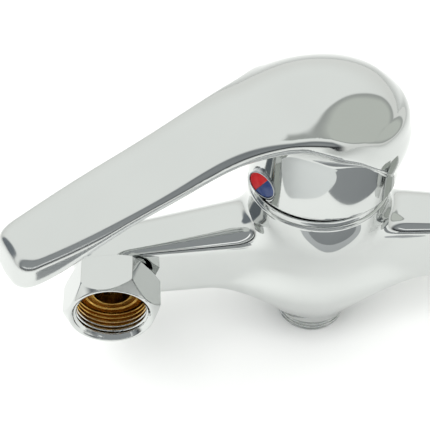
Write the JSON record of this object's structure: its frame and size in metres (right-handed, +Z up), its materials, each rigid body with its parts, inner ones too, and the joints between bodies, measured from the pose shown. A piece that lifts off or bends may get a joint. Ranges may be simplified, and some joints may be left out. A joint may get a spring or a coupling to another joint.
{
  "type": "wall mounted bath faucet",
  "caption": "Exposed single-lever wall mixer: bar body with two inlet union nuts, ceramic cartridge under a lever handle, threaded outlet below.",
  "frame": {"origin": "midway between the two inlet connections, in the plane of the union nuts' mouths", "axes": "+X along the bar from inlet to inlet, -Y towards the wall, +Z up along the cartridge axis"},
  "size_m": [0.1931, 0.0925, 0.1207],
  "materials": {
    "body_chrome": "polished chrome plate on cast brass",
    "nut_chrome": "polished chrome plate on turned brass, bare brass deep inside",
    "outlet_chrome": "polished chrome plate on turned brass",
    "trim_chrome": "polished chrome plate on turned brass",
    "handle_chrome": "polished chrome plate on a zinc casting",
    "bare_brass": "turned brass, unplated",
    "spindle_brass": "machined brass",
    "seal_rubber": "black nitrile rubber",
    "cartridge_plastic": "moulded acetal, satin",
    "disc_ceramic": "lapped alumina ceramic, opaque",
    "pin_steel": "stainless steel",
    "index_rim": "metallised plastic rim",
    "index_red": "glossy red plastic",
    "index_blue": "glossy blue plastic"
  },
  "bodies": {
    "body": {"body_casting": "body_chrome", "inlet_tail_left": "bare_brass", "inlet_tail_right": "bare_brass", "tail_oring_left": "seal_rubber", "tail_oring_right": "seal_rubber", "outlet_nipple": "outlet_chrome", "outlet_oring": "seal_rubber", "cartridge_base": "cartridge_plastic", "port_seals": "seal_rubber", "fixed_disc": "disc_ceramic", "cartridge_case": "cartridge_plastic", "retaining_nut": "bare_brass", "trim_ring": "trim_chrome"},
    "swivel": {"rotor": "cartridge_plastic", "spindle_pin": "pin_steel"},
    "disc": {"moving_disc": "disc_ceramic", "disc_carrier": "cartridge_plastic"},
    "lever": {"spindle": "spindle_brass", "handle": "handle_chrome", "handle_set_screw": "pin_steel", "index_carrier": "index_rim", "index_red": "index_red", "index_blue": "index_blue"},
    "nut_left": {"union_nut_left": "nut_chrome"},
    "nut_right": {"union_nut_right": "nut_chrome"}
  },
  "joints": [
    {"name": "lever_swivel", "type": "hinge", "parent": "body", "child": "swivel", "pos_m": [0, 0.0332, 0.018], "axis": [0, 0, 1], "range_deg": [-120, 0]},
    {"name": "lever_lift", "type": "hinge", "parent": "swivel", "child": "lever", "pos_m": [0, 0.0332, 0.018], "axis": [-0.5, 0.866, 0], "range_deg": [0, 20]},
    {"name": "disc_slide", "type": "slide", "parent": "swivel", "child": "disc", "axis": [-0.866, -0.5, 0], "range_m": [0, 0.0013]},
    {"name": "nut_left_spin", "type": "hinge", "parent": "body", "child": "nut_left", "pos_m": [-0.075, 0, 0], "axis": [0, -1, 0], "continuous": true},
    {"name": "nut_right_spin", "type": "hinge", "parent": "body", "child": "nut_right", "pos_m": [0.075, 0, 0], "axis": [0, -1, 0], "continuous": true}
  ],
  "couplings": [
    {"joint": "disc_slide", "follows": "lever_lift", "m_per_rad": 0.0036}
  ]
}
